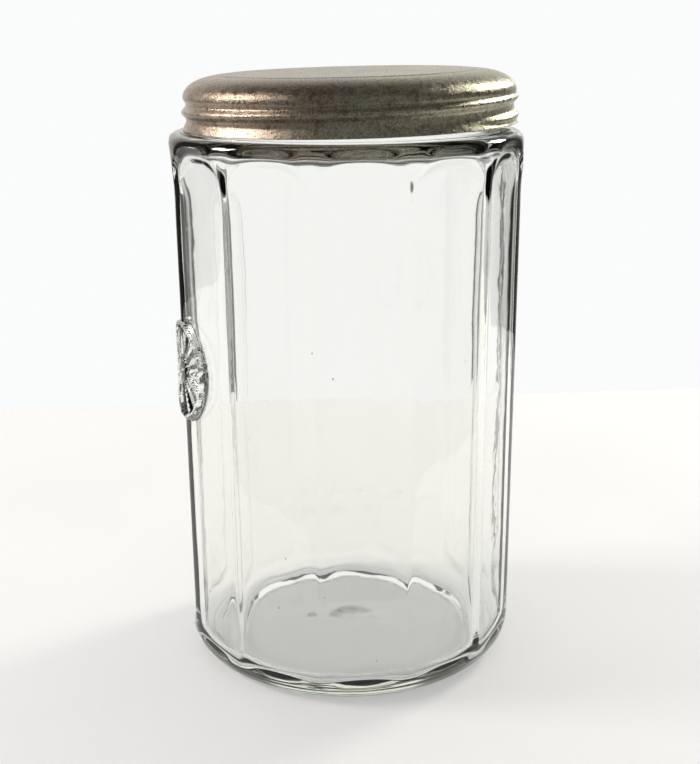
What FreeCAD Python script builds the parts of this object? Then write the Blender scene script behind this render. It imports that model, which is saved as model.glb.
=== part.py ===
import FreeCAD, Part
import math
import os

from FreeCAD import Vector

# Twelve-sided glass canister with a thin sheet-metal screw cap.
# Sizes in millimetres. +Z is up, the jar stands on Z = 0 and its axis is the Z axis.
# One panel faces -Y.

# ---- jar, outside
PANELS = 12
RING_RADIUS = 58.0
RING_STANDS_OUT = 0.5
RIDGE_DRAFT = 1.5
PANEL_DEPTH = 2.2
PANEL_DRAFT = 1.45
SHOULDER_HEIGHT = 178.6
SHOULDER_ROUND = 3.6
SWELL_BELOW_SHOULDER = 20.0
SWELL_LENGTH = 8.0
SWELL_ROUND = 30.0
HEEL_HEIGHT = 12.0
HEEL_RUN = 6.8
FOOT_WIDTH = 4.5

# ---- arch-topped panels
ARCH_BELOW_SHOULDER = 5.9
ARCH_RISE = 11.5
ARCH_SIDE_LIFT = 0.25
ARCH_TOP_LIFT = 1.0
PANEL_BOTTOM = -5.0
CUTTER_PAST_RING = 2.0
CUTTER_PAST_RIM = 0.4

# ---- jar, inside and underneath: the blown wall follows the panels at an even thickness
WALL = 3.5
INNER_RIDGE_ROUND = 0.9
FLOOR_HEIGHT = 5.6
FLOOR_CORNER = 7.0
NECK_WALL = 3.8
CEILING_CORNER = 3.0
INNER_ARCH_DROP = 1.9
PUSH_UP = 1.4
PUSH_UP_EDGE = 6.0
MARK_RADIUS = 15.0
MARK_DEPTH = 0.8

# ---- neck and its thread
NECK_INSET = 7.6
NECK_HEIGHT = 14.0
RIM_ROUND = 1.4
LEDGE_HEIGHT = 0.5
LEDGE_STANDS_OUT = 3.4
LEDGE_ROUND = 0.2
THREAD_PITCH = 5.9
THREAD_LOWEST_ABOVE_LEDGE = 3.4
THREAD_TURNS = 1.1
THREAD_START_ANGLE = -15.0

# ---- cap
SHEET = 0.5
SEAT_GAP = 0.1
CAP_HEADROOM = 3.0
CAP_SIDE_GAP = 2.0
CAP_SHOULDER_STANDS_OUT = 0.9
CAP_RIM_FLARE = 1.2
CAP_RIM_BAND = 2.4
CAP_DOME_WIDTH = 12.0
CAP_DOME_HEIGHT = 6.4
CAP_SHOULDER_BAND = 1.8
CAP_TOP_STEP = 0.25
CAP_STEP_WIDTH = 0.6
BEAD_HEIGHT = 1.6
BEAD_WIDTH = 4.4
BEAD_SINK = 0.25

# ---- the worn cap sits a little off the jar's axis and screwed down unevenly
CAP_OFF_CENTRE = 1.6
CAP_COCKED = 1.0
CAP_LEANS_TO = -4.9

# ---- clearances between cap and glass thread
THREAD_RADIAL_GAP = 0.75
THREAD_AXIAL_GAP = 0.95
THREAD_END_GAP = 4.0
THREAD_DROP_SHARE = 0.6

# ---- medallion across the ridge between two panels, plain rays in a ring
MEDALLION_ANGLE = -165.0
MEDALLION_HEIGHT = 103.0
MEDALLION_RADIUS = 16.5
MEDALLION_RIM = 2.0
MEDALLION_RAYS = 16
MEDALLION_RAY_WIDTH = 1.8
MEDALLION_HUB_RADIUS = 4.6
MEDALLION_SINK = 0.3
MEDALLION_RAY_TIP_SHARE = 0.35
MEDALLION_RAY_SINK = 0.15
MEDALLION_JOIN = 0.5

# ---- values that follow from the ones above
RIDGE_RADIUS_TOP = RING_RADIUS - RING_STANDS_OUT
RIDGE_RADIUS_BOTTOM = RIDGE_RADIUS_TOP - RIDGE_DRAFT
PANEL_APOTHEM_TOP = RING_RADIUS - PANEL_DEPTH
PANEL_APOTHEM_BOTTOM = PANEL_APOTHEM_TOP - PANEL_DRAFT
FOOT_RADIUS = RIDGE_RADIUS_BOTTOM - HEEL_RUN
NECK_RADIUS = RING_RADIUS - NECK_INSET
MOUTH_RADIUS = NECK_RADIUS - NECK_WALL
LEDGE_RADIUS = NECK_RADIUS + LEDGE_STANDS_OUT
LEDGE_Z = SHOULDER_HEIGHT + LEDGE_HEIGHT
RIM_Z = SHOULDER_HEIGHT + NECK_HEIGHT
CEILING_Z = SHOULDER_HEIGHT - WALL
ARCH_TOP_Z = SHOULDER_HEIGHT - ARCH_BELOW_SHOULDER
CAP_WAIST_RADIUS = NECK_RADIUS + CAP_SIDE_GAP + SHEET
CAP_RADIUS = CAP_WAIST_RADIUS + CAP_SHOULDER_STANDS_OUT
CAP_RIM_RADIUS = CAP_WAIST_RADIUS + CAP_RIM_FLARE
CAP_DIP = CAP_RIM_RADIUS * math.sin(math.radians(CAP_COCKED))
CAP_RIM_Z = LEDGE_Z + SEAT_GAP + CAP_DIP
CAP_TOP_Z = RIM_Z + CAP_DIP + CAP_HEADROOM + SHEET
THREAD_Z = LEDGE_Z + CAP_DIP + THREAD_LOWEST_ABOVE_LEDGE
HALF_PANEL = math.pi / PANELS


def at(radius, height):
    """Point in the XZ half plane."""
    return Vector(radius, 0.0, height)


def straight_run(first, last):
    """Straight edge, as a two-pole curve where it slants, which keeps leaning cuts sound."""
    if first.x == last.x or first.z == last.z:
        return Part.LineSegment(first, last).toShape()
    run = Part.BezierCurve()
    run.setPoles([first, last])
    return run.toShape()


def rounded_outline(corners):
    """Closed wire through (radius, height, rounding) corners, each rounding a tangent arc."""
    ends = []
    count = len(corners)
    for i in range(count):
        corner = at(corners[i][0], corners[i][1])
        size = corners[i][2]
        if size == 0:
            ends.append((corner, None, corner))
            continue
        back = at(corners[i - 1][0], corners[i - 1][1]) - corner
        ahead = at(corners[(i + 1) % count][0], corners[(i + 1) % count][1]) - corner
        back.normalize()
        ahead.normalize()
        half = back.getAngle(ahead) / 2
        reach = size / math.tan(half)
        inward = back + ahead
        inward.normalize()
        middle = corner + inward * (size / math.sin(half) - size)
        ends.append((corner + back * reach, middle, corner + ahead * reach))
    edges = []
    for i in range(count):
        first, middle, last = ends[i]
        if middle is not None:
            edges.append(Part.Arc(first, middle, last).toShape())
        following = ends[(i + 1) % count][0]
        if last.distanceToPoint(following) > 1e-6:
            edges.append(straight_run(last, following))
    return Part.Wire(edges)


def turned(corners):
    """Solid of revolution about Z from an outline with rounded corners."""
    face = Part.Face(rounded_outline(corners))
    return face.revolve(Vector(0, 0, 0), Vector(0, 0, 1), 360)


def turned_about_z(shape, degrees):
    """Copy of a shape turned about the jar's axis."""
    copy = shape.copy()
    copy.rotate(Vector(0, 0, 0), Vector(0, 0, 1), degrees)
    return copy


# ------------------------------------------------------------------ jar body
def heel_point():
    """Sharp corner whose rounding gives the curved heel from foot to wall."""
    rise = HEEL_HEIGHT
    run = RIDGE_RADIUS_BOTTOM - FOOT_RADIUS
    radius = (run * run + rise * rise) / (2 * run)
    start = math.atan2(rise, radius - run)
    along = radius * math.tan(start / 2)
    return RIDGE_RADIUS_BOTTOM, HEEL_HEIGHT - along, radius


def round_blank():
    """Jar body before its panels: heel, wall, ring, shoulder, ledge and neck, not yet hollow."""
    heel_r, heel_z, heel_round = heel_point()
    swell_z = SHOULDER_HEIGHT - SWELL_BELOW_SHOULDER
    foot_in = FOOT_RADIUS - FOOT_WIDTH
    corners = [
        (0, PUSH_UP + MARK_DEPTH, 0),
        (MARK_RADIUS - 2 * MARK_DEPTH, PUSH_UP + MARK_DEPTH, 3.0),
        (MARK_RADIUS, PUSH_UP, 3.0),
        (foot_in - PUSH_UP_EDGE, PUSH_UP * 0.75, 20.0),
        (foot_in, 0, 0.8),
        (FOOT_RADIUS, 0, 0),
        (heel_r, heel_z, heel_round * 0.98),
        (RIDGE_RADIUS_TOP, swell_z, SWELL_ROUND),
        (RING_RADIUS, swell_z + SWELL_LENGTH, SWELL_ROUND),
        (RING_RADIUS, SHOULDER_HEIGHT, SHOULDER_ROUND),
        (LEDGE_RADIUS, SHOULDER_HEIGHT, 0),
        (LEDGE_RADIUS, LEDGE_Z, LEDGE_ROUND),
        (NECK_RADIUS, LEDGE_Z, 0.5),
        (NECK_RADIUS, RIM_Z, RIM_ROUND),
        (0, RIM_Z, 0),
    ]
    return turned(corners)


def hollow_blank():
    """Room inside the jar before its panels, open at the mouth."""
    swell_z = SHOULDER_HEIGHT - SWELL_BELOW_SHOULDER
    low = PANEL_APOTHEM_BOTTOM - WALL + INNER_RIDGE_ROUND
    high = PANEL_APOTHEM_TOP - WALL + INNER_RIDGE_ROUND
    ring = RING_RADIUS - WALL
    corners = [
        (0, FLOOR_HEIGHT, 0),
        (low, FLOOR_HEIGHT, FLOOR_CORNER),
        (high, swell_z, SWELL_ROUND),
        (ring, swell_z + SWELL_LENGTH, 12.0),
        (ring, CEILING_Z, CEILING_CORNER),
        (MOUTH_RADIUS, CEILING_Z, 2.5),
        (MOUTH_RADIUS, RIM_Z - RIM_ROUND, 2.0),
        (MOUTH_RADIUS + RIM_ROUND, RIM_Z + CUTTER_PAST_RIM, 0),
        (0, RIM_Z + CUTTER_PAST_RIM, 0),
    ]
    return turned(corners)


def apothem(height):
    """Distance from the axis to a panel's flat, which leans out a little towards the top."""
    rise = (height - HEEL_HEIGHT) / (ARCH_TOP_Z - HEEL_HEIGHT)
    return PANEL_APOTHEM_BOTTOM + (PANEL_APOTHEM_TOP - PANEL_APOTHEM_BOTTOM) * rise


def arch_wire(depth_at, side_z, top_z):
    """Arch-topped outline of a panel cutter, depth_at giving its distance from the axis."""
    slope = math.tan(HALF_PANEL)
    corner = min(top_z - side_z, depth_at(top_z) * slope * 0.98)
    spring = top_z - corner
    half = depth_at(spring) * slope
    half_low = depth_at(PANEL_BOTTOM) * slope
    turn = corner * (1 - math.sqrt(0.5))

    def point(across, height):
        return Vector(across, -depth_at(height), height)

    low_left = point(-half_low, PANEL_BOTTOM)
    low_right = point(half_low, PANEL_BOTTOM)
    right = point(half, spring)
    right_turn = point(half - turn, top_z - turn)
    right_top = point(half - corner, top_z)
    left_top = point(corner - half, top_z)
    left_turn = point(turn - half, top_z - turn)
    left = point(-half, spring)
    edges = [
        Part.LineSegment(low_left, low_right).toShape(),
        Part.LineSegment(low_right, right).toShape(),
        Part.Arc(right, right_turn, right_top).toShape(),
        Part.LineSegment(right_top, left_top).toShape(),
        Part.Arc(left_top, left_turn, left).toShape(),
        Part.LineSegment(left, low_left).toShape(),
    ]
    return Part.Wire(edges)


def panel_cutter(inset, drop):
    """Wedge that flattens one side, its arched top sloping outward to the ring."""
    reach = RING_RADIUS + CUTTER_PAST_RING

    def leaning(height):
        return apothem(height) - inset

    def upright(height):
        return reach

    top = ARCH_TOP_Z - drop
    side = top - ARCH_RISE
    out = reach - leaning(top)
    near = arch_wire(leaning, side, top)
    far = arch_wire(upright, side + out * ARCH_SIDE_LIFT, top + out * ARCH_TOP_LIFT)
    return Part.makeLoft([near, far], True, True)


def paneled(blank, cutter):
    """Cut the flat panels round a blank."""
    body = blank
    for i in range(PANELS):
        body = body.cut(turned_about_z(cutter, 360.0 * i / PANELS))
    return body


# ------------------------------------------------------------- screw threads
def bead_section(foot, crest, width):
    """Round-backed bead section on a wall of radius foot, its chord sunk into the wall."""
    rise = crest - foot
    radius = (rise * rise + width * width / 4) / (2 * rise)
    centre = crest - radius
    deep = foot - BEAD_SINK
    half = math.sqrt(radius * radius - (deep - centre) ** 2)
    low = at(deep, -half)
    high = at(deep, half)
    edges = [
        Part.Arc(low, at(crest, 0), high).toShape(),
        Part.LineSegment(high, low).toShape(),
    ]
    return Part.Wire(edges)


def helical_bead(foot, crest, width, end_trim):
    """Right-hand bead wound round a wall from THREAD_Z up, shortened by end_trim at both ends."""
    trim = math.degrees(end_trim / foot)
    turns = THREAD_TURNS - 2 * trim / 360
    path = Part.makeHelix(THREAD_PITCH, THREAD_PITCH * turns, foot)
    section = bead_section(foot, crest, width)
    bead = Part.Wire(path.Edges).makePipeShell([section], True, True)
    bead.rotate(Vector(0, 0, 0), Vector(0, 0, 1), THREAD_START_ANGLE + trim)
    bead.translate(Vector(0, 0, THREAD_Z + THREAD_PITCH * trim / 360))
    return bead


# ----------------------------------------------------------------- medallion
def medallion_plate(outline, stands_to):
    """Flat outline pushed through the wall and trimmed to a curved front."""
    push = outline.extrude(Vector(0, -RING_RADIUS, 0))
    inner = Part.makeCylinder(PANEL_APOTHEM_BOTTOM - WALL / 3, 4 * MEDALLION_RADIUS)
    outer = Part.makeCylinder(stands_to, 4 * MEDALLION_RADIUS)
    band = outer.cut(inner)
    band.translate(Vector(0, 0, MEDALLION_HEIGHT - 2 * MEDALLION_RADIUS))
    plate = push.common(band)
    return turned_about_z(plate, MEDALLION_ANGLE + 90.0)


def medallion():
    """Plates of a round rim, a small hub and the plain rays between them."""
    centre = Vector(0, 0, MEDALLION_HEIGHT)
    toward = Vector(0, -1, 0)

    def disc(radius):
        edge = Part.makeCircle(radius, centre, toward)
        return Part.Face(Part.Wire([edge]))

    front = RING_RADIUS - MEDALLION_SINK
    rim = disc(MEDALLION_RADIUS).cut(disc(MEDALLION_RADIUS - MEDALLION_RIM))
    hub = disc(MEDALLION_HUB_RADIUS)
    pieces = [medallion_plate(rim.Faces[0], front), medallion_plate(hub, front)]
    start = MEDALLION_HUB_RADIUS - MEDALLION_JOIN
    finish = MEDALLION_RADIUS - MEDALLION_RIM + MEDALLION_JOIN
    half = MEDALLION_RAY_WIDTH / 2
    for i in range(MEDALLION_RAYS):
        turn = 360.0 * i / MEDALLION_RAYS
        tip = half * MEDALLION_RAY_TIP_SHARE
        points = [
            Vector(start, 0, -tip),
            Vector(finish, 0, -half),
            Vector(finish, 0, half),
            Vector(start, 0, tip),
            Vector(start, 0, -tip),
        ]
        ray = Part.Face(Part.makePolygon(points))
        ray.rotate(Vector(0, 0, 0), Vector(0, 1, 0), turn)
        ray.translate(centre)
        pieces.append(medallion_plate(ray, front - MEDALLION_RAY_SINK))
    return pieces


def make_jar():
    """Panelled body with its medallion and neck thread, then the room inside cut out of it."""
    body = paneled(round_blank(), panel_cutter(0, 0))
    body = body.fuse(medallion())
    bead_inside = CAP_WAIST_RADIUS + BEAD_HEIGHT - SHEET
    crest = bead_inside - CAP_OFF_CENTRE - THREAD_RADIAL_GAP
    width = BEAD_WIDTH - 2 * THREAD_AXIAL_GAP
    thread = helical_bead(NECK_RADIUS, crest, width, SHEET + THREAD_END_GAP)
    thread.translate(Vector(0, 0, -CAP_DIP * THREAD_DROP_SHARE))
    body = body.fuse(thread)
    room = paneled(hollow_blank(), panel_cutter(WALL, INNER_ARCH_DROP))
    body = body.cut(room)
    return body.removeSplitter()


# ----------------------------------------------------------------------- cap
def dome_point(inset, share):
    """Point on the cap's quarter-oval dome, share 0 at the side and 1 at the top."""
    turn = share * math.pi / 2
    centre_r = CAP_RADIUS - CAP_DOME_WIDTH
    centre_z = CAP_TOP_Z - CAP_TOP_STEP - CAP_DOME_HEIGHT
    radius = centre_r + (CAP_DOME_WIDTH - inset) * math.cos(turn)
    height = centre_z + (CAP_DOME_HEIGHT - inset) * math.sin(turn)
    return at(radius, height)


def dome_edge(inset):
    """Quarter oval from the cap's side up to its top disc."""
    curve = Part.BSplineCurve()
    points = [dome_point(inset, i / 8.0) for i in range(9)]
    curve.interpolate(Points=points, InitialTangent=Vector(0, 0, 1), FinalTangent=Vector(-1, 0, 0))
    return curve.toShape()


def side_points(inset):
    """Cap side from its flared rim through the waist to the foot of the dome."""
    rim_r = CAP_RIM_RADIUS - inset
    waist = CAP_WAIST_RADIUS - inset
    shoulder_z = CAP_TOP_Z - CAP_TOP_STEP - CAP_DOME_HEIGHT
    return [
        at(rim_r, CAP_RIM_Z),
        at(waist, CAP_RIM_Z + CAP_RIM_BAND),
        at(waist, shoulder_z - CAP_SHOULDER_BAND),
        at(CAP_RADIUS - inset, shoulder_z),
    ]


def cap_shell():
    """Thin sheet turned about Z: rim, waist, dome and slightly raised top disc."""
    outer = side_points(0)
    inner = side_points(SHEET)
    disc_r = CAP_RADIUS - CAP_DOME_WIDTH
    step_r = disc_r - CAP_STEP_WIDTH
    under = CAP_TOP_Z - SHEET
    edges = []
    for side in (outer, inner):
        for i in range(len(side) - 1):
            edges.append(Part.LineSegment(side[i], side[i + 1]).toShape())
    outer_dome = dome_edge(0)
    inner_dome = dome_edge(SHEET)
    edges.append(outer_dome)
    edges.append(inner_dome)
    edges.append(Part.LineSegment(dome_point(0, 1), at(step_r, CAP_TOP_Z)).toShape())
    edges.append(Part.LineSegment(at(step_r, CAP_TOP_Z), at(0, CAP_TOP_Z)).toShape())
    edges.append(Part.LineSegment(at(0, CAP_TOP_Z), at(0, under)).toShape())
    edges.append(Part.LineSegment(at(0, under), at(step_r, under)).toShape())
    edges.append(Part.LineSegment(at(step_r, under), dome_point(SHEET, 1)).toShape())
    edges.append(Part.LineSegment(inner[0], outer[0]).toShape())
    wire = Part.Wire(Part.__sortEdges__(edges))
    return Part.Face(wire).revolve(Vector(0, 0, 0), Vector(0, 0, 1), 360)


def make_cap():
    """Cap shell with its rolled bead and groove, set off centre and cocked as it is screwed on."""
    shell = cap_shell()
    crest = CAP_WAIST_RADIUS + BEAD_HEIGHT
    shell = shell.fuse(helical_bead(CAP_WAIST_RADIUS, crest, BEAD_WIDTH, 0))
    inner_foot = CAP_WAIST_RADIUS - SHEET
    groove = helical_bead(inner_foot, crest - SHEET, BEAD_WIDTH - SHEET, SHEET)
    shell = shell.cut(groove).removeSplitter()
    lean = math.radians(CAP_LEANS_TO)
    across = Vector(math.sin(lean), -math.cos(lean), 0)
    shell.rotate(Vector(0, 0, CAP_RIM_Z), across, CAP_COCKED)
    aside = Vector(math.cos(lean), math.sin(lean), 0) * CAP_OFF_CENTRE
    shell.translate(aside)
    return shell


def largest_solid(shape):
    """The node's one solid, any stray sliver left out."""
    solids = sorted(shape.Solids, key=lambda solid: solid.Volume)
    return solids[-1]


def main():
    os.makedirs("parts", exist_ok=True)
    nodes = {"jar": make_jar(), "lid": make_cap()}
    for name in nodes:
        shape = nodes[name]
        print(name, "solids", len(shape.Solids), "valid", shape.isValid())
        print(name, "volume cm3", round(shape.Volume / 1000, 2))
        largest_solid(shape).exportStep("parts/" + name + ".step")


main()
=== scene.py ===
import bpy
import math
import random
from mathutils import Matrix, Vector, noise


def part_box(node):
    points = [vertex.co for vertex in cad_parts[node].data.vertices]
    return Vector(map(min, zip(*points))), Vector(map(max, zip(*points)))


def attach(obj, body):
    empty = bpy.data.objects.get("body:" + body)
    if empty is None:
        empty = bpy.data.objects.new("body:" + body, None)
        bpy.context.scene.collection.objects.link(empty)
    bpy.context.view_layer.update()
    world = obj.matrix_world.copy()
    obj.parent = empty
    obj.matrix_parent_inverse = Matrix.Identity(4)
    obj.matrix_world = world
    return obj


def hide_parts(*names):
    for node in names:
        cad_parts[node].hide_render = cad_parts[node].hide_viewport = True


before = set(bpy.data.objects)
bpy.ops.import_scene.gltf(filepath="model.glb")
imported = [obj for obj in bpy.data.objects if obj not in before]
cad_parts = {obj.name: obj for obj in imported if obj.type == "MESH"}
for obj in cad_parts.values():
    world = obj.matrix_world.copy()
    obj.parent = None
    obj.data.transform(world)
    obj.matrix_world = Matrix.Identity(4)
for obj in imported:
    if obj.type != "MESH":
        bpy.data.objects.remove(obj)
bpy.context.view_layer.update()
random.seed(7)

# ------------------------------------------------------------ sizes from the frame
JAR_LO, JAR_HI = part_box("jar")
RING_R = (JAR_HI[0] - JAR_LO[0]) / 2
RIM_Z = JAR_HI[2]

MM = 0.001
PANELS = 12
HALF = math.pi / PANELS

# jar, measured in from the ring and down from the rim
RIDGE_TOP_R = RING_R - 0.5 * MM
RIDGE_LOW_R = RING_R - 2.0 * MM
APOTHEM_TOP = RING_R - 2.2 * MM
APOTHEM_LOW = RING_R - 3.65 * MM
FOOT_R = RING_R - 8.8 * MM
NECK_R = RING_R - 7.6 * MM
MOUTH_R = NECK_R - 3.8 * MM
LEDGE_R = NECK_R + 3.4 * MM
SHOULDER_Z = RIM_Z - 14.0 * MM
LEDGE_Z = SHOULDER_Z + 0.5 * MM
SWELL_Z = SHOULDER_Z - 20.0 * MM
ARCH_TOP = SHOULDER_Z - 5.9 * MM
ARCH_CORNER = 11.5 * MM
ARCH_SLOPE = 0.36
HEEL_Z = 12.0 * MM
HEEL_SLOPE = 0.3
WALL = 3.5 * MM
FLOOR_Z = 5.6 * MM
CEILING_Z = SHOULDER_Z - WALL
MARK_R = 12.5 * MM
MARK_RISE = 0.5 * MM
PUSH_UP = 1.4 * MM
SWELL_LENGTH = 8.0 * MM
RIDGE_SOFT = 0.4 * MM
ARCH_SOFT = 0.4 * MM
INNER_SOFT = 1.0 * MM
INNER_DROP = 1.9 * MM
WALL_SEEDS = 26
FLOOR_SEEDS = 9

# glass thread on the neck
NECK_THREAD_Z = LEDGE_Z + 3.8 * MM
NECK_THREAD_FIRST = -0.2
NECK_THREAD_TURNS = 1.06
NECK_THREAD_FADE = 0.03
NECK_THREAD_CREST = 1.2 * MM
NECK_THREAD_WIDTH = 3.0 * MM

# cap, before it is set off centre and cocked
CAP_WAIST = RING_R - 5.1 * MM
CAP_WIDE = CAP_WAIST + 0.9 * MM
CAP_FLARE = 1.4 * MM
BEAD = 1.55 * MM
SHEET = 0.5 * MM
COCKED = math.radians(1.0)
LEANS_TO = math.radians(-4.9)
OFF_CENTRE = 1.6 * MM
CAP_Z = LEDGE_Z + 0.1 * MM + (CAP_WAIST + CAP_FLARE) * math.sin(COCKED)
TOP_Z = CAP_Z + 16.9 * MM
DOME_W = 12.0 * MM
DOME_H = 6.4 * MM
DOME_Z = TOP_Z - 0.25 * MM - DOME_H
THREAD_Z = CAP_Z + 2.56 * MM
PITCH = 5.85 * MM
BEAD_WIDTH = 5.0 * MM
BEAD_FIRST = math.radians(-62.0)
BEAD_TURNS = 1.3
BEAD_FADE = 0.11
RIM_BAND = 3.0 * MM
CAP_COLUMNS = 360
SIDE_ROWS = 44
DOME_ROWS = 14
DISC_ROWS = 16
SAG = 0.12 * MM
CENTRE_SAG = 0.15 * MM

# medallion across the ridge two and a half panels round from the front
MEDAL_AT = math.radians(-165.0)
MEDAL_Z = 103.0 * MM
MEDAL_R = 16.5 * MM
MEDAL_RAYS = 16
MEDAL_RIM = 2.0 * MM
MEDAL_HUB = 4.6 * MM
MEDAL_SOFT = 0.5 * MM
MEDAL_FRONT = RING_R - 0.35 * MM
MEDAL_BACK = RIDGE_LOW_R - 1.2 * MM
RAY_SHARE = 0.9


# ------------------------------------------------------------------- small helpers
def smooth(x, low, high):
    t = min(1.0, max(0.0, (x - low) / (high - low)))
    return t * t * (3 - 2 * t)


def soft_min(a, b, k):
    h = min(1.0, max(0.0, 0.5 + 0.5 * (b - a) / k))
    return b + (a - b) * h - k * h * (1 - h)


def outline(corners, step):
    """Polyline through (r, z, rounding, step) corners with tangent arcs, evenly stepped."""
    points = []
    count = len(corners)
    for i, (r, z, size, _) in enumerate(corners):
        here = Vector((r, z))
        if size == 0 or i == 0 or i == count - 1:
            points.append((here, corners[i][3]))
            continue
        back = (Vector(corners[i - 1][:2]) - here).normalized()
        ahead = (Vector(corners[i + 1][:2]) - here).normalized()
        half = back.angle(ahead) / 2
        reach = size / math.tan(half)
        centre = here + (back + ahead).normalized() * (size / math.sin(half))
        first = here + back * reach - centre
        last = here + ahead * reach - centre
        total = first.angle_signed(last)
        parts = max(3, int(abs(math.degrees(total)) / 9))
        for j in range(parts + 1):
            turn = Matrix.Rotation(-total * j / parts, 2)
            points.append((centre + turn @ first, corners[i][3] if j == parts else 0))
    result = [points[0][0]]
    for i in range(1, len(points)):
        gap = points[i][0] - points[i - 1][0]
        size = points[i - 1][1] or step
        parts = max(1, int(math.ceil(gap.length / size))) if points[i - 1][1] else 1
        for j in range(1, parts + 1):
            result.append(points[i - 1][0] + gap * (j / parts))
    clean = [result[0]]
    for p in result[1:]:
        if (p - clean[-1]).length > 0.02 * MM:
            clean.append(p)
    return clean


def link(mesh_name, verts, faces, material):
    """Smooth-shaded object from points and faces."""
    mesh = bpy.data.meshes.new(mesh_name)
    mesh.from_pydata([tuple(v) for v in verts], [], faces)
    mesh.validate()
    mesh.update()
    for poly in mesh.polygons:
        poly.use_smooth = True
    mesh.materials.append(material)
    piece = bpy.data.objects.new(mesh_name, mesh)
    bpy.context.scene.collection.objects.link(piece)
    return piece


def turned_faces(rows, columns):
    """Quads between rings, with the first and last rows closed to single points."""
    faces = []
    base = 1
    for c in range(columns):
        faces.append((0, base + (c + 1) % columns, base + c))
    for r in range(rows - 1):
        a = base + r * columns
        b = a + columns
        for c in range(columns):
            d = (c + 1) % columns
            faces.append((a + c, a + d, b + d, b + c))
    tail = base + (rows - 1) * columns
    end = tail + columns
    for c in range(columns):
        faces.append((end, tail + c, tail + (c + 1) % columns))
    return faces


# ------------------------------------------------------------------------ nodes
def new_material(name):
    """Material with an empty node tree."""
    material = bpy.data.materials.new(name)
    material.use_nodes = True
    tree = material.node_tree
    tree.nodes.clear()
    return material, tree


def add(tree, kind, **values):
    """Node with the named inputs or settings given."""
    node = tree.nodes.new(kind)
    for key, value in values.items():
        if key in node.inputs:
            node.inputs[key].default_value = value
        else:
            setattr(node, key, value)
    return node


def join(tree, source, out, target, into):
    tree.links.new(source.outputs[out], target.inputs[into])


def ranged(tree, source, out, low, high, to_low=0.0, to_high=1.0):
    """Output of a node stretched from low..high to to_low..to_high, held at both ends."""
    node = add(tree, "ShaderNodeMapRange")
    node.inputs["From Min"].default_value = low
    node.inputs["From Max"].default_value = high
    node.inputs["To Min"].default_value = to_low
    node.inputs["To Max"].default_value = to_high
    join(tree, source, out, node, "Value")
    return node


def ramp(tree, source, out, stops):
    """Colour ramp over a node's output, from (place, colour) stops."""
    node = tree.nodes.new("ShaderNodeValToRGB")
    while len(node.color_ramp.elements) < len(stops):
        node.color_ramp.elements.new(0.5)
    for element, (place, colour) in zip(node.color_ramp.elements, stops):
        element.position = place
        element.color = (*colour, 1)
    tree.links.new(source.outputs[out], node.inputs["Fac"])
    return node


def glass_material():
    material, tree = new_material("clear_glass")
    place = add(tree, "ShaderNodeTexCoord")
    slow = add(tree, "ShaderNodeTexNoise", Scale=26.0, Detail=2.0, Roughness=0.5)
    fine = add(tree, "ShaderNodeTexNoise", Scale=140.0, Detail=2.0, Roughness=0.5)
    haze = add(tree, "ShaderNodeTexNoise", Scale=60.0, Detail=5.0, Roughness=0.6)
    for node in (slow, fine, haze):
        join(tree, place, "Object", node, "Vector")
    first = add(tree, "ShaderNodeBump", Strength=0.35, Distance=0.0012)
    second = add(tree, "ShaderNodeBump", Strength=0.12, Distance=0.0003)
    join(tree, slow, "Fac", first, "Height")
    join(tree, fine, "Fac", second, "Height")
    join(tree, first, "Normal", second, "Normal")
    film = ramp(tree, haze, "Fac", [(0.45, (0.0, 0.0, 0.0)), (0.75, (0.035, 0.035, 0.035))])
    shader = add(tree, "ShaderNodeBsdfPrincipled")
    shader.inputs["Base Color"].default_value = (0.972, 0.976, 0.965, 1)
    shader.inputs["Transmission Weight"].default_value = 1.0
    shader.inputs["IOR"].default_value = 1.5
    join(tree, film, "Color", shader, "Roughness")
    join(tree, second, "Normal", shader, "Normal")
    tint = add(tree, "ShaderNodeVolumeAbsorption")
    tint.inputs["Color"].default_value = (0.75, 0.80, 0.62, 1)
    tint.inputs["Density"].default_value = 8.0
    out = add(tree, "ShaderNodeOutputMaterial")
    join(tree, shader, "BSDF", out, "Surface")
    join(tree, tint, "Volume", out, "Volume")
    return material


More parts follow.
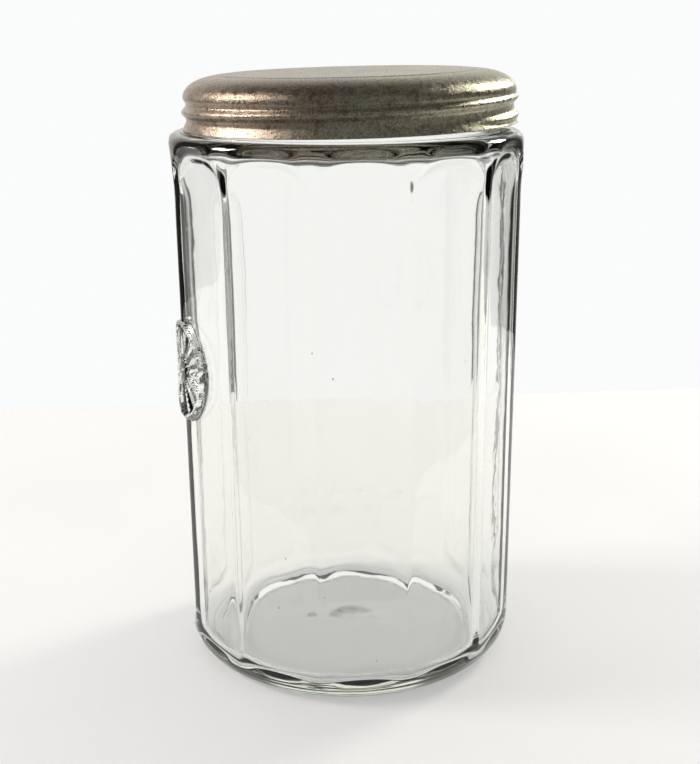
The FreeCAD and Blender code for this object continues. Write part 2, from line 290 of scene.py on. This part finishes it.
def metal_material():
    material, tree = new_material("aged_metal")
    place = add(tree, "ShaderNodeTexCoord")
    clouds = add(tree, "ShaderNodeTexNoise", Scale=34.0, Detail=4.0, Roughness=0.6)
    stains = add(tree, "ShaderNodeTexNoise", Scale=380.0, Detail=6.0, Roughness=0.7)
    grain = add(tree, "ShaderNodeTexNoise", Scale=2300.0, Detail=3.0, Roughness=0.7)
    for node in (clouds, stains, grain):
        join(tree, place, "Object", node, "Vector")
    # brown to the left, greener grey to the right
    split = add(tree, "ShaderNodeSeparateXYZ")
    join(tree, place, "Object", split, "Vector")
    side = ranged(tree, split, "X", -45 * MM, 25 * MM)
    shift = add(tree, "ShaderNodeMath", operation="ADD")
    join(tree, side, "Result", shift, 0)
    wobble = ranged(tree, clouds, "Fac", 0.3, 0.7, -0.35, 0.35)
    join(tree, wobble, "Result", shift, 1)
    body = ramp(tree, shift, "Value", [
        (0.0, (0.36, 0.295, 0.24)),
        (0.45, (0.30, 0.25, 0.20)),
        (0.75, (0.31, 0.30, 0.235)),
        (1.0, (0.38, 0.37, 0.285)),
    ])
    dark = ramp(tree, stains, "Fac", [
        (0.34, (0.62, 0.60, 0.57)),
        (0.5, (1, 1, 1)),
        (0.70, (1.2, 1.18, 1.13)),
    ])
    dark.color_ramp.interpolation = "EASE"
    mixed = add(tree, "ShaderNodeMix", data_type="RGBA", blend_type="MULTIPLY")
    mixed.inputs["Factor"].default_value = 1.0
    tree.links.new(body.outputs["Color"], mixed.inputs[6])
    tree.links.new(dark.outputs["Color"], mixed.inputs[7])
    # painted light: the base colour is darker on the domed edge (painted shade) and brighter on the
    # rim band (painted highlight), so the domed edge looks duller than the rim
    height = ranged(tree, split, "Z", DOME_Z - 4.0 * MM, DOME_Z + 2.0 * MM, 1.12, 0.80)
    painted_dome_shade_rim_light = add(tree, "ShaderNodeVectorMath", operation="SCALE")
    tree.links.new(mixed.outputs[2], painted_dome_shade_rim_light.inputs[0])
    join(tree, height, "Result", painted_dome_shade_rim_light, "Scale")
    speck = ramp(tree, grain, "Fac", [
        (0.36, (0.25, 0.23, 0.21)),
        (0.47, (1, 1, 1)),
        (0.60, (1.6, 1.55, 1.45)),
    ])
    final = add(tree, "ShaderNodeMix", data_type="RGBA", blend_type="MULTIPLY")
    final.inputs["Factor"].default_value = 0.8
    tree.links.new(painted_dome_shade_rim_light.outputs["Vector"], final.inputs[6])
    tree.links.new(speck.outputs["Color"], final.inputs[7])
    rough = ranged(tree, stains, "Fac", 0.3, 0.7, 0.20, 0.36)
    bump_a = add(tree, "ShaderNodeBump", Strength=1.0, Distance=0.00012)
    join(tree, grain, "Fac", bump_a, "Height")
    bump_b = add(tree, "ShaderNodeBump", Strength=0.25, Distance=0.00025)
    join(tree, stains, "Fac", bump_b, "Height")
    join(tree, bump_a, "Normal", bump_b, "Normal")
    shader = add(tree, "ShaderNodeBsdfPrincipled", Metallic=0.92)
    tree.links.new(final.outputs[2], shader.inputs["Base Color"])
    join(tree, rough, "Result", shader, "Roughness")
    join(tree, bump_b, "Normal", shader, "Normal")
    out = add(tree, "ShaderNodeOutputMaterial")
    join(tree, shader, "BSDF", out, "Surface")
    return material


def floor_material():
    material, tree = new_material("pale_floor")
    place = add(tree, "ShaderNodeTexCoord")
    cloud = add(tree, "ShaderNodeTexNoise", Scale=9.0, Detail=3.0)
    join(tree, place, "Object", cloud, "Vector")
    tone = ramp(tree, cloud, "Fac", [(0.3, (0.38, 0.375, 0.37)), (0.7, (0.40, 0.395, 0.39))])
    shader = add(tree, "ShaderNodeBsdfPrincipled", Roughness=0.8)
    shader.inputs["Emission Color"].default_value = (1.0, 1.0, 1.0, 1)
    shader.inputs["Emission Strength"].default_value = 0.30
    join(tree, tone, "Color", shader, "Base Color")
    out = add(tree, "ShaderNodeOutputMaterial")
    join(tree, shader, "BSDF", out, "Surface")
    return material


# ------------------------------------------------------------------------ the jar
def apothem(height):
    """Distance from the axis to a panel's flat, which leans out towards the top."""
    rise = (height - HEEL_Z) / (ARCH_TOP - HEEL_Z)
    return APOTHEM_LOW + (APOTHEM_TOP - APOTHEM_LOW) * rise


def panel_radius(angle, height, inset, drop):
    """Distance from the axis at which the panels' flats and their arched tops lie."""
    turn = (angle + math.pi / 2) % (2 * HALF)
    if turn > HALF:
        turn -= 2 * HALF
    depth = apothem(height) - inset
    half = depth * math.tan(HALF)
    across = abs(depth * math.tan(turn))
    bend = max(0.0, across - (half - ARCH_CORNER))
    up = max(0.0, height - (ARCH_TOP - drop - ARCH_CORNER))
    past = max(0.0, math.hypot(bend, up) - ARCH_CORNER)
    return depth / math.cos(turn) + ARCH_SLOPE * past


def medallion_lift(angle, height):
    """Radius of the medallion's front here, 0 where it has none."""
    across = RING_R * math.sin(angle - MEDAL_AT)
    if math.cos(angle - MEDAL_AT) < 0.5:
        return 0.0
    up = height - MEDAL_Z
    out = math.hypot(across, up)
    if out > MEDAL_R + 1.0 * MM:
        return 0.0
    rim = smooth(out, MEDAL_R - MEDAL_RIM - MEDAL_SOFT, MEDAL_R - MEDAL_RIM + MEDAL_SOFT)
    rim *= 1 - smooth(out, MEDAL_R - MEDAL_SOFT, MEDAL_R + MEDAL_SOFT)
    hub = 1 - smooth(out, MEDAL_HUB - MEDAL_SOFT, MEDAL_HUB + MEDAL_SOFT)
    turn = (math.atan2(up, across) / (2 * math.pi) * MEDAL_RAYS) % 1.0
    away = min(turn, 1 - turn) / MEDAL_RAYS * 2 * math.pi * out
    wide = (0.3 + 0.6 * (out - 4.1 * MM) / (10.9 * MM)) * MM
    ray = 1 - smooth(away, wide - 0.35 * MM, wide + 0.45 * MM)
    ray *= smooth(out, 4.0 * MM, 5.0 * MM) * (1 - smooth(out, 14.0 * MM, 16.0 * MM)) * RAY_SHARE
    level = max(rim, hub, ray)
    return MEDAL_BACK + (MEDAL_FRONT - MEDAL_BACK) * level


def thread_lift(angle, height, low, first, turns, fade, crest, width):
    """Height of a right-hand helical bead at this angle and height."""
    best = 0.0
    for lap in range(-1, 4):
        share = (angle - first) / (2 * math.pi) + lap
        if share < 0 or share > turns:
            continue
        off = abs(height - low - PITCH * share)
        if off < width / 2:
            ends = smooth(share, 0, fade) * (1 - smooth(share, turns - fade, turns))
            best = max(best, crest * ends * (0.5 + 0.5 * math.cos(2 * math.pi * off / width)))
    return best


def wander(angle, height, seed, size):
    """Slow unevenness of pressed glass or thin sheet."""
    p = Vector((math.cos(angle) * 1.7, math.sin(angle) * 1.7, height / (45 * MM) + seed))
    return noise.noise(p) * size


def jar_columns():
    """Angles of the mesh columns: closer at the ridges, closest over the medallion."""
    fine_half = math.radians(18.5)
    turns = []
    parts = 18
    for panel in range(PANELS):
        middle = -math.pi / 2 + 2 * HALF * panel
        for i in range(parts):
            t = -1 + 2 * i / parts
            angle = middle + HALF * t * (1 + 0.3 * (1 - t * t))
            off = (angle - MEDAL_AT + math.pi) % (2 * math.pi) - math.pi
            if abs(off) > fine_half + 0.005:
                turns.append(off)
    parts = 72
    for i in range(parts + 1):
        turns.append(-fine_half + 2 * fine_half * i / parts)
    turns.sort()
    return [MEDAL_AT + t for t in turns]


def jar_line():
    """Half section of the jar from under its middle, up the outside and down the inside.

    Each corner is its radius, height, rounding and the spacing of points after it.
    """
    run = RIDGE_LOW_R - FOOT_R
    heel = (run * run + HEEL_Z * HEEL_Z) / (2 * run)
    along = heel * math.tan(math.atan2(HEEL_Z, heel - run) / 2)

    def ridge(height):
        share = (height - HEEL_Z) / (SWELL_Z - HEEL_Z)
        return RIDGE_LOW_R + (RIDGE_TOP_R - RIDGE_LOW_R) * share

    medal_low = MEDAL_Z - MEDAL_R - 1.5 * MM
    medal_high = MEDAL_Z + MEDAL_R + 1.5 * MM
    inside = RING_R - WALL
    corners = [
        (0.0, PUSH_UP, 0, 2.0 * MM),
        (FOOT_R - 10.5 * MM, 1.1 * MM, 20 * MM, 3 * MM),
        (FOOT_R - 4.5 * MM, 0.0, 0.8 * MM, 1.5 * MM),
        (FOOT_R, 0.0, 0.5 * MM, 1 * MM),
        (RIDGE_LOW_R, HEEL_Z - along, heel * 0.985, 3.2 * MM),
        (ridge(medal_low), medal_low, 0, 0.6 * MM),
        (ridge(medal_high), medal_high, 0, 3.2 * MM),
        (RIDGE_TOP_R, SWELL_Z, 30 * MM, 0.8 * MM),
        (RING_R, SWELL_Z + SWELL_LENGTH, 30 * MM, 0.5 * MM),
        (RING_R, SHOULDER_Z, 3.6 * MM, 1.2 * MM),
        (LEDGE_R, SHOULDER_Z, 0.2 * MM, 0.3 * MM),
        (LEDGE_R, LEDGE_Z, 0.2 * MM, 1.0 * MM),
        (NECK_R, LEDGE_Z, 0.5 * MM, 0.7 * MM),
        (NECK_R, RIM_Z, 1.4 * MM, 0.8 * MM),
        (MOUTH_R, RIM_Z, 1.4 * MM, 2.5 * MM),
        (MOUTH_R, CEILING_Z, 2.5 * MM, 0.8 * MM),
        (inside, CEILING_Z, 3.0 * MM, 0.8 * MM),
        (inside, SWELL_Z + SWELL_LENGTH, 12.0 * MM, 0.8 * MM),
        (APOTHEM_TOP - WALL + 0.9 * MM, SWELL_Z, 30.0 * MM, 4 * MM),
        (APOTHEM_LOW - WALL + 0.9 * MM, FLOOR_Z, 7.0 * MM, 2.5 * MM),
        (0.0, FLOOR_Z, 0, 2 * MM),
    ]
    return outline(corners, 1 * MM)


def outside_point(angle, radius, height):
    """Place on the jar's outside where its half section has this radius and height."""
    if height < 2 * MM and radius < MARK_R:
        height += MARK_RISE * (1 - (radius / MARK_R) ** 2)
    if height > 0.5 * MM and height < SHOULDER_Z - 0.3 * MM and radius > 45 * MM:
        flat = panel_radius(angle, height, 0.0, 0.0)
        flat += HEEL_SLOPE * max(0.0, HEEL_Z - height)
        soft = RIDGE_SOFT + ARCH_SOFT * smooth(height, ARCH_TOP - 22 * MM, ARCH_TOP - 9 * MM)
        radius = soft_min(radius, flat, soft)
        radius = min(max(radius, medallion_lift(angle, height)), RING_R)
    if height > LEDGE_Z + 0.6 * MM and radius > MOUTH_R + 2.5 * MM:
        radius += thread_lift(
            angle, height, NECK_THREAD_Z, NECK_THREAD_FIRST, NECK_THREAD_TURNS,
            NECK_THREAD_FADE, NECK_THREAD_CREST, NECK_THREAD_WIDTH,
        )
    return radius, height


def inside_point(angle, radius, height):
    """Place on the jar's inside where its half section has this radius and height."""
    if height > FLOOR_Z + 0.6 * MM and height < CEILING_Z - 0.3 * MM:
        flat = panel_radius(angle, height, WALL, INNER_DROP)
        radius = soft_min(radius, flat, INNER_SOFT)
        radius += wander(angle, height, 3.0, 0.35 * MM) * smooth(height, 8 * MM, 20 * MM)
    elif height < FLOOR_Z + 0.6 * MM:
        height += wander(angle, radius, 5.0, 0.25 * MM) * smooth(radius, 1 * MM, 12 * MM)
    return radius, height


def bubble(verts, faces, angle, radius, height, wide, tall):
    """Small seed of air shut in the wall, its faces turned inward."""
    around, rows = 10, 5
    middle = Vector((radius * math.cos(angle), radius * math.sin(angle), height))
    base = len(verts)
    verts.append(middle - Vector((0, 0, tall)))
    for row in range(rows):
        lift = -math.cos(math.pi * (row + 1) / (rows + 1))
        ring = math.sqrt(1 - lift * lift)
        for i in range(around):
            turn = 2 * math.pi * i / around
            side = Vector((ring * wide * math.cos(turn), ring * wide * math.sin(turn), lift * tall))
            verts.append(middle + side)
    verts.append(middle + Vector((0, 0, tall)))
    for i in range(around):
        following = (i + 1) % around
        faces.append((base, base + 1 + i, base + 1 + following))
        for row in range(rows - 1):
            a = base + 1 + row * around
            b = a + around
            faces.append((a + i, b + i, b + following, a + following))
        last = base + 1 + (rows - 1) * around
        faces.append((base + 1 + rows * around, last + following, last + i))


def make_jar(material):
    """Glass body as one closed mesh, with seeds of air shut in its wall and floor."""
    line = jar_line()
    rim_index = max(range(len(line)), key=lambda i: line[i][1])
    columns = jar_columns()
    first = outside_point(0.0, 0.0, line[0][1])
    verts = [Vector((0, 0, first[1]))]
    for i, p in enumerate(line[1:-1], start=1):
        shaped = outside_point if i <= rim_index else inside_point
        for angle in columns:
            radius, height = shaped(angle, p[0], p[1])
            verts.append(Vector((radius * math.cos(angle), radius * math.sin(angle), height)))
    verts.append(Vector((0, 0, line[-1][1])))
    faces = turned_faces(len(line) - 2, len(columns))
    for _ in range(WALL_SEEDS):
        angle = random.uniform(-math.pi, math.pi)
        height = random.uniform(14 * MM, 165 * MM)
        depth = apothem(height) - random.uniform(1.2, 2.2) * MM
        wide = random.uniform(0.12, 0.32) * MM
        bubble(verts, faces, angle, depth, height, wide, wide * random.uniform(1.2, 2.6))
    for _ in range(FLOOR_SEEDS):
        angle = random.uniform(-math.pi, math.pi)
        wide = random.uniform(0.15, 0.4) * MM
        bubble(verts, faces, angle, random.uniform(8, 40) * MM, 3.6 * MM, wide, wide * 0.7)
    piece = link("jar_glass", verts, faces, material)
    print("jar triangles", sum(len(p.vertices) - 2 for p in piece.data.polygons))
    return piece


# ------------------------------------------------------------------------ the cap
def cap_side(height):
    """Radius of the cap's side without its thread."""
    flare = CAP_FLARE * max(0.0, 1 - (height - CAP_Z) / RIM_BAND)
    spread = (CAP_WIDE - CAP_WAIST) * smooth(height, DOME_Z - 2.2 * MM, DOME_Z - 0.2 * MM)
    return CAP_WAIST + flare + spread


def cap_point(kind, value, angle, inset):
    """Radius and height on the cap's sheet, inset into it."""
    if kind == "side":
        low = THREAD_Z + PITCH * BEAD_FIRST / (2 * math.pi)
        lift = thread_lift(angle, value, low, BEAD_FIRST, BEAD_TURNS, BEAD_FADE, BEAD, BEAD_WIDTH)
        radius = -soft_min(-cap_side(value), -(CAP_WAIST + lift), 0.35 * MM)
        radius = min(radius + wander(angle, value, 1.0, 0.10 * MM), CAP_WAIST + 1.6 * MM)
        return radius - inset, value
    if kind == "dome":
        radius = CAP_WIDE - DOME_W + (DOME_W - inset) * math.cos(value)
        height = DOME_Z + (DOME_H - inset) * math.sin(value)
        dent = min(0.0, wander(angle, height * 1.5, 2.0, 0.25 * MM))
        return radius + dent, height + dent * 0.8 * math.sin(value)
    radius, height = value
    sag = max(0.0, SAG + wander(angle, radius * 1.2, 4.0, 0.10 * MM))
    return radius, height - inset - sag * (1 - (radius / (CAP_WIDE - DOME_W)) ** 2)


def make_lid(material):
    """Thin sheet cap as one closed mesh, set off centre and cocked."""
    disc = CAP_WIDE - DOME_W
    outer = []
    for i in range(SIDE_ROWS + 1):
        outer.append(("side", CAP_Z + (DOME_Z - CAP_Z) * i / SIDE_ROWS))
    for i in range(1, DOME_ROWS + 1):
        outer.append(("dome", i / DOME_ROWS * math.pi / 2))
    for near, down in ((0.3, 0.22), (0.7, 0.06), (1.2, 0.03)):
        outer.append(("disc", (disc - near * MM, TOP_Z - down * MM)))
    for i in range(1, DISC_ROWS):
        outer.append(("disc", ((disc - 1.2 * MM) * (1 - i / DISC_ROWS), TOP_Z - 0.03 * MM)))
    entries = [(e, 0.0) for e in reversed(outer)] + [(e, SHEET) for e in outer]
    verts = [Vector((0, 0, TOP_Z - CENTRE_SAG))]
    for (kind, value), inset in entries:
        for c in range(CAP_COLUMNS):
            angle = 2 * math.pi * c / CAP_COLUMNS
            radius, height = cap_point(kind, value, angle, inset)
            verts.append(Vector((radius * math.cos(angle), radius * math.sin(angle), height)))
    verts.append(Vector((0, 0, TOP_Z - CENTRE_SAG - SHEET)))
    across = Vector((math.sin(LEANS_TO), -math.cos(LEANS_TO), 0))
    tilt = Matrix.Rotation(COCKED, 3, across)
    foot = Vector((0, 0, CAP_Z))
    aside = Vector((math.cos(LEANS_TO), math.sin(LEANS_TO), 0)) * OFF_CENTRE
    verts = [tilt @ (v - foot) + foot + aside for v in verts]
    faces = turned_faces(len(entries), CAP_COLUMNS)
    flipped = [tuple(reversed(f)) for f in faces]
    piece = link("lid_metal", verts, flipped, material)
    print("lid triangles", sum(len(p.vertices) - 2 for p in piece.data.polygons))
    return piece


# ------------------------------------------------------------------- build it all
glass = glass_material()
metal = metal_material()

jar = make_jar(glass)
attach(jar, "root")
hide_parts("jar")

lid = make_lid(metal)
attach(lid, "root")
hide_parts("lid")

# ---------------------------------------------------------------- floor and light
FLOOR_HALF = 3.0
FLOOR_NEAR = -0.13
FLOOR_FAR = 0.297
floor_corners = [
    (-FLOOR_HALF, FLOOR_NEAR, 0),
    (FLOOR_HALF, FLOOR_NEAR, 0),
    (FLOOR_HALF, FLOOR_FAR, 0),
    (-FLOOR_HALF, FLOOR_FAR, 0),
]
mesh = bpy.data.meshes.new("floor")
mesh.from_pydata(floor_corners, [], [(0, 1, 2, 3)])
mesh.materials.append(floor_material())
floor = bpy.data.objects.new("floor", mesh)
bpy.context.scene.collection.objects.link(floor)


def world_light():
    """White backdrop; the glass shows darker stretches aside of it and the metal a dim front."""
    world = bpy.data.worlds.new("studio")
    bpy.context.scene.world = world
    world.use_nodes = True
    tree = world.node_tree
    tree.nodes.clear()
    paths = add(tree, "ShaderNodeLightPath")
    place = add(tree, "ShaderNodeTexCoord")
    split = add(tree, "ShaderNodeSeparateXYZ")
    join(tree, place, "Generated", split, "Vector")
    aside = ranged(tree, split, "X", -1.0, 1.0)
    through = ramp(tree, aside, "Result", [
        (0.35, (0.10, 0.10, 0.09)),
        (0.375, (0.25, 0.25, 0.23)),
        (0.40, (1.0, 1.0, 1.0)),
        (0.69, (1.0, 1.0, 1.0)),
        (0.725, (0.14, 0.14, 0.13)),
        (0.80, (0.12, 0.12, 0.11)),
        (0.87, (0.55, 0.55, 0.54)),
    ])
    behind = ranged(tree, split, "Y", 0.4, 0.6)
    clear = add(tree, "ShaderNodeMix", data_type="RGBA")
    clear.inputs[6].default_value = (1.0, 1.0, 1.0, 1)
    tree.links.new(behind.outputs["Result"], clear.inputs["Factor"])
    tree.links.new(through.outputs["Color"], clear.inputs[7])
    facing = ranged(tree, split, "Y", -1.0, 1.0)
    mirrored = ramp(tree, facing, "Result", [
        (0.0, (0.06, 0.06, 0.055)),
        (0.05, (0.20, 0.20, 0.18)),
        (0.16, (0.20, 0.20, 0.18)),
        (0.3, (0.05, 0.047, 0.042)),
        (0.65, (0.05, 0.047, 0.042)),
        (0.84, (0.15, 0.145, 0.13)),
        (0.95, (0.98, 0.95, 0.89)),
    ])
    fill = add(tree, "ShaderNodeRGB")
    fill.outputs[0].default_value = (0.80, 0.80, 0.81, 1)
    white = add(tree, "ShaderNodeRGB")
    white.outputs[0].default_value = (0.96, 0.965, 0.97, 1)

    def choose(flag, low, high):
        node = add(tree, "ShaderNodeMix", data_type="RGBA")
        tree.links.new(paths.outputs[flag], node.inputs["Factor"])
        tree.links.new(low, node.inputs[6])
        tree.links.new(high, node.inputs[7])
        return node.outputs[2]

    colour = choose("Is Glossy Ray", fill.outputs[0], mirrored.outputs["Color"])
    colour = choose("Is Transmission Ray", colour, clear.outputs[2])
    colour = choose("Is Camera Ray", colour, white.outputs[0])
    shine = add(tree, "ShaderNodeBackground", Strength=1.0)
    tree.links.new(colour, shine.inputs["Color"])
    out = add(tree, "ShaderNodeOutputWorld")
    join(tree, shine, "Background", out, "Surface")


LAMP_TARGET = Vector((0, 0, 0.11))


def softbox(name, azimuth, elevation, distance, wide, tall, watts, colour):
    """Rectangular lamp facing the jar, not seen through the glass."""
    lamp = bpy.data.lights.new(name, "AREA")
    lamp.shape = "RECTANGLE"
    lamp.size = wide
    lamp.size_y = tall
    lamp.energy = watts
    lamp.color = colour
    piece = bpy.data.objects.new(name, lamp)
    bpy.context.scene.collection.objects.link(piece)
    a, e = math.radians(azimuth), math.radians(elevation)
    away = Vector((math.cos(a) * math.cos(e), math.sin(a) * math.cos(e), math.sin(e)))
    piece.location = LAMP_TARGET + away * distance
    piece.rotation_euler = (-away).to_track_quat("-Z", "Y").to_euler()
    piece.visible_transmission = False
    return piece


world_light()
softbox("window_left", -184, 33, 1.1, 0.30, 0.26, 7.5, (1.0, 0.95, 0.89))
softbox("window_right", 35, 30, 1.1, 0.24, 0.24, 7.5, (1.0, 0.99, 0.88))
overhead = softbox("overhead", 90, 75, 1.3, 1.0, 1.0, 5.0, (1.0, 1.0, 1.0))
overhead.visible_glossy = False

# ------------------------------------------------------------------------ camera
EYE_LENS = 63.26
EYE_SIDE = math.radians(-94.88)
EYE_AWAY = 0.44405
EYE_HEIGHT = 0.21566
EYE_DOWN = 0.2697
EYE_ROLL = 0.0079
EYE_YAW = 0.0020


def make_camera():
    """Camera at the photograph's viewing angle, looking a little down and rolled slightly."""
    view = bpy.data.cameras.new("camera")
    view.lens = EYE_LENS
    view.sensor_width = 36.0
    view.clip_start = 0.01
    eye = bpy.data.objects.new("camera", view)
    bpy.context.scene.collection.objects.link(eye)
    position = Vector((EYE_AWAY * math.cos(EYE_SIDE), EYE_AWAY * math.sin(EYE_SIDE), EYE_HEIGHT))
    ahead = Vector((-math.cos(EYE_SIDE - EYE_YAW), -math.sin(EYE_SIDE - EYE_YAW), 0.0))
    forward = ahead * math.cos(EYE_DOWN) + Vector((0, 0, -math.sin(EYE_DOWN)))
    right = forward.cross(Vector((0, 0, 1))).normalized()
    up = right.cross(forward).normalized()
    tilted_right = right * math.cos(EYE_ROLL) - up * math.sin(EYE_ROLL)
    tilted_up = up * math.cos(EYE_ROLL) + right * math.sin(EYE_ROLL)
    basis = Matrix((tilted_right, tilted_up, -forward)).transposed()
    eye.matrix_world = Matrix.Translation(position) @ basis.to_4x4()
    bpy.context.scene.camera = eye


make_camera()
bpy.context.scene.view_settings.view_transform = "Standard"
